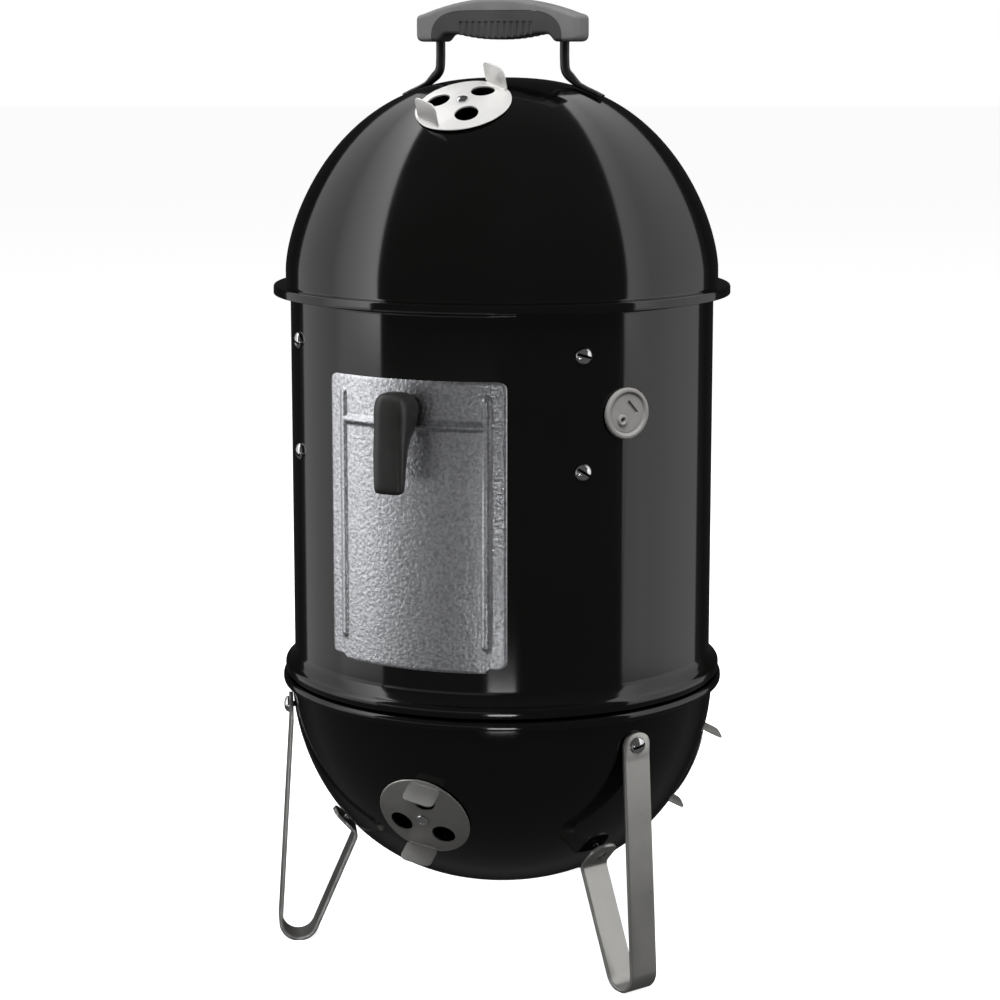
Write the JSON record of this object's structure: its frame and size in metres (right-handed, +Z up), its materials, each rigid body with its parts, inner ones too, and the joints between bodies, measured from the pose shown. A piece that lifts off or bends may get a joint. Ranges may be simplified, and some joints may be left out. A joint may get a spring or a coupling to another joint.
{
  "type": "vertical water smoker",
  "caption": "Upright charcoal smoker: domed lid, round centre section with a door and grates over a water pan, and a bowl on strap legs.",
  "frame": {"origin": "on the ground under the middle of the whole smoker's box; the smoker's own vertical axis is 1.6 mm along +X and 5.7 mm along +Y from it", "axes": "+Z up, the door side towards -Y, the lid handle parallel to the door"},
  "size_m": [0.379, 0.387, 0.7865],
  "materials": {
    "enamel": "high gloss black porcelain enamel",
    "aluminium": "satin sheet",
    "embossed_aluminium": "stucco embossed sheet",
    "plated_steel": "bright plated",
    "grate_steel": "plain mill steel",
    "black_rod": "satin black",
    "light_grip": "fine grained grey nylon",
    "dark_grip": "fine grained dark grey nylon",
    "black_nylon": "satin black glass-filled nylon",
    "silicone": "matt grey silicone"
  },
  "bodies": {
    "bowl": {"bowl_shell": "enamel", "leg_right": "aluminium", "leg_back": "aluminium", "leg_left": "aluminium", "leg_right_screw_upper": "plated_steel", "leg_right_screw_lower": "plated_steel", "leg_right_nut_upper": "plated_steel", "leg_right_nut_lower": "plated_steel", "leg_back_screw_upper": "plated_steel", "leg_back_screw_lower": "plated_steel", "leg_back_nut_upper": "plated_steel", "leg_back_nut_lower": "plated_steel", "leg_left_screw_upper": "plated_steel", "leg_left_screw_lower": "plated_steel", "leg_left_nut_upper": "plated_steel", "leg_left_nut_lower": "plated_steel", "bowl_damper_front_rivet": "plated_steel", "bowl_damper_right_rivet": "plated_steel", "bowl_damper_back_rivet": "plated_steel"},
    "bowl_damper_front": {"bowl_damper_front": "aluminium"},
    "bowl_damper_right": {"bowl_damper_right": "aluminium"},
    "bowl_damper_back": {"bowl_damper_back": "aluminium"},
    "charcoal_grate": {"charcoal_grate": "grate_steel"},
    "charcoal_ring": {"charcoal_ring": "grate_steel"},
    "centre_section": {"centre_shell": "enamel", "grate_strap_1": "grate_steel", "grate_strap_2": "grate_steel", "grate_strap_3": "grate_steel", "grate_strap_4": "grate_steel", "strap_screw_1_upper": "plated_steel", "strap_screw_1_lower": "plated_steel", "strap_nut_1_upper": "plated_steel", "strap_nut_1_lower": "plated_steel", "strap_screw_2_upper": "plated_steel", "strap_screw_2_lower": "plated_steel", "strap_nut_2_upper": "plated_steel", "strap_nut_2_lower": "plated_steel", "strap_screw_3_upper": "plated_steel", "strap_screw_3_lower": "plated_steel", "strap_nut_3_upper": "plated_steel", "strap_nut_3_lower": "plated_steel", "strap_screw_4_upper": "plated_steel", "strap_screw_4_lower": "plated_steel", "strap_nut_4_upper": "plated_steel", "strap_nut_4_lower": "plated_steel", "probe_grommet": "silicone"},
    "door": {"door_panel": "embossed_aluminium"},
    "door_latch": {"door_handle": "black_nylon", "latch_lever": "grate_steel"},
    "upper_grate": {"upper_grate": "plated_steel"},
    "lower_grate": {"lower_grate": "plated_steel"},
    "water_pan": {"water_pan": "enamel"},
    "lid": {"lid_shell": "enamel", "lid_damper_rivet": "plated_steel", "handle_rod": "black_rod", "grip_shell": "light_grip", "grip_insert": "dark_grip", "grip_screw_left": "plated_steel", "grip_screw_right": "plated_steel"},
    "lid_damper": {"lid_damper": "aluminium"}
  },
  "joints": [
    {"name": "centre_lift", "type": "slide", "parent": "bowl", "child": "centre_section", "axis": [0, 0, 1], "range_m": [0, 0.3]},
    {"name": "lid_lift", "type": "slide", "parent": "centre_section", "child": "lid", "axis": [0, 0, 1], "range_m": [0, 0.3]},
    {"name": "lid_damper_turn", "type": "hinge", "parent": "lid", "child": "lid_damper", "pos_m": [-0.02918, -0.0789, 0.70423], "axis": [-0.1619, -0.4449, 0.8808], "range_deg": [0, 60]},
    {"name": "bowl_damper_front_turn", "type": "hinge", "parent": "bowl", "child": "bowl_damper_front", "pos_m": [-0.06059, -0.13739, 0.14332], "axis": [-0.3542, -0.8151, -0.4585], "range_deg": [0, 60]},
    {"name": "bowl_damper_right_turn", "type": "hinge", "parent": "bowl", "child": "bowl_damper_right", "pos_m": [0.15659, 0.02336, 0.14332], "axis": [0.883, 0.1007, -0.4585], "range_deg": [0, 60]},
    {"name": "bowl_damper_back_turn", "type": "hinge", "parent": "bowl", "child": "bowl_damper_back", "pos_m": [-0.09122, 0.13106, 0.14332], "axis": [-0.5287, 0.7143, -0.4585], "range_deg": [0, 60]},
    {"name": "door_tilt", "type": "hinge", "parent": "centre_section", "child": "door", "pos_m": [-0.07023, -0.15413, 0.2686], "axis": [0.9121, -0.41, 0], "range_deg": [0, 90]},
    {"name": "door_latch_turn", "type": "hinge", "parent": "door", "child": "door_latch", "pos_m": [-0.06974, -0.15303, 0.474], "axis": [-0.41, -0.9121, 0], "range_deg": [0, 90]},
    {"name": "upper_grate_lift", "type": "slide", "parent": "centre_section", "child": "upper_grate", "axis": [0, 0, 1], "range_m": [0, 0.015]},
    {"name": "lower_grate_lift", "type": "slide", "parent": "centre_section", "child": "lower_grate", "axis": [0, 0, 1], "range_m": [0, 0.09]},
    {"name": "water_pan_lift", "type": "slide", "parent": "centre_section", "child": "water_pan", "axis": [0, 0, 1], "range_m": [0, 0.012]},
    {"name": "charcoal_grate_lift", "type": "slide", "parent": "bowl", "child": "charcoal_grate", "axis": [0, 0, 1], "range_m": [0, 0.05]},
    {"name": "charcoal_ring_lift", "type": "slide", "parent": "charcoal_grate", "child": "charcoal_ring", "axis": [0, 0, 1], "range_m": [0, 0.05]}
  ]
}
